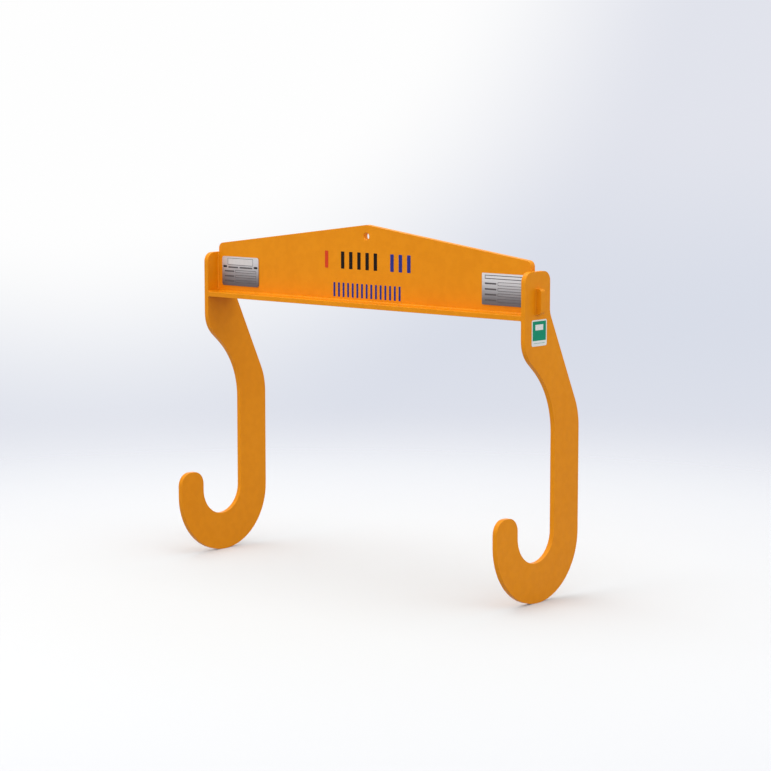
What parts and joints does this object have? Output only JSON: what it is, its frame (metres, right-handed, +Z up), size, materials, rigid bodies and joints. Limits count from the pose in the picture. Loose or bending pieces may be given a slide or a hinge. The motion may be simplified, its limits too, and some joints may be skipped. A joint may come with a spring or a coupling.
{
  "type": "mandrel lifting hook",
  "caption": "Welded plate lifting beam with a gabled web and lifting eye on a flat flange, and a J-shaped hook plate at each end that carries a roll by its mandrel.",
  "frame": {"origin": "centre of the lifting eye, in the middle plane of the web", "axes": "+X along the beam to the right hook, +Y to the back, away from the hooks' mouths, +Z up"},
  "size_m": [1.372, 0.395, 1.1058],
  "materials": {
    "orange_paint": "semi-gloss orange enamel on steel plate",
    "painted_weld": "the same enamel over rippled weld beads",
    "satin_label": "brushed satin plate with blank ruled fields",
    "foam_pad": "matt black adhesive foam",
    "red_vinyl": "cut red vinyl film",
    "black_vinyl": "cut black vinyl film",
    "blue_vinyl": "cut blue vinyl film",
    "sticker_vinyl": "printed green and white vinyl"
  },
  "bodies": {
    "root": {"web_plate": "orange_paint", "bottom_flange": "orange_paint", "left_hook": "orange_paint", "right_hook": "orange_paint", "web_flange_weld_front": "painted_weld", "web_flange_weld_rear": "painted_weld", "left_web_weld_front": "painted_weld", "left_web_weld_rear": "painted_weld", "right_web_weld_front": "painted_weld", "right_web_weld_rear": "painted_weld", "left_flange_weld_front": "painted_weld", "left_flange_weld_rear": "painted_weld", "left_flange_weld_under": "painted_weld", "right_flange_weld_front": "painted_weld", "right_flange_weld_rear": "painted_weld", "right_flange_weld_under": "painted_weld", "left_tenon_weld": "painted_weld", "right_tenon_weld": "painted_weld", "left_data_plate": "satin_label", "right_data_plate": "satin_label", "left_plate_pad": "foam_pad", "right_plate_pad": "foam_pad", "red_marking": "red_vinyl", "black_marking": "black_vinyl", "blue_marking": "blue_vinyl", "lower_marking": "blue_vinyl", "inspection_sticker": "sticker_vinyl"}
  },
  "joints": []
}
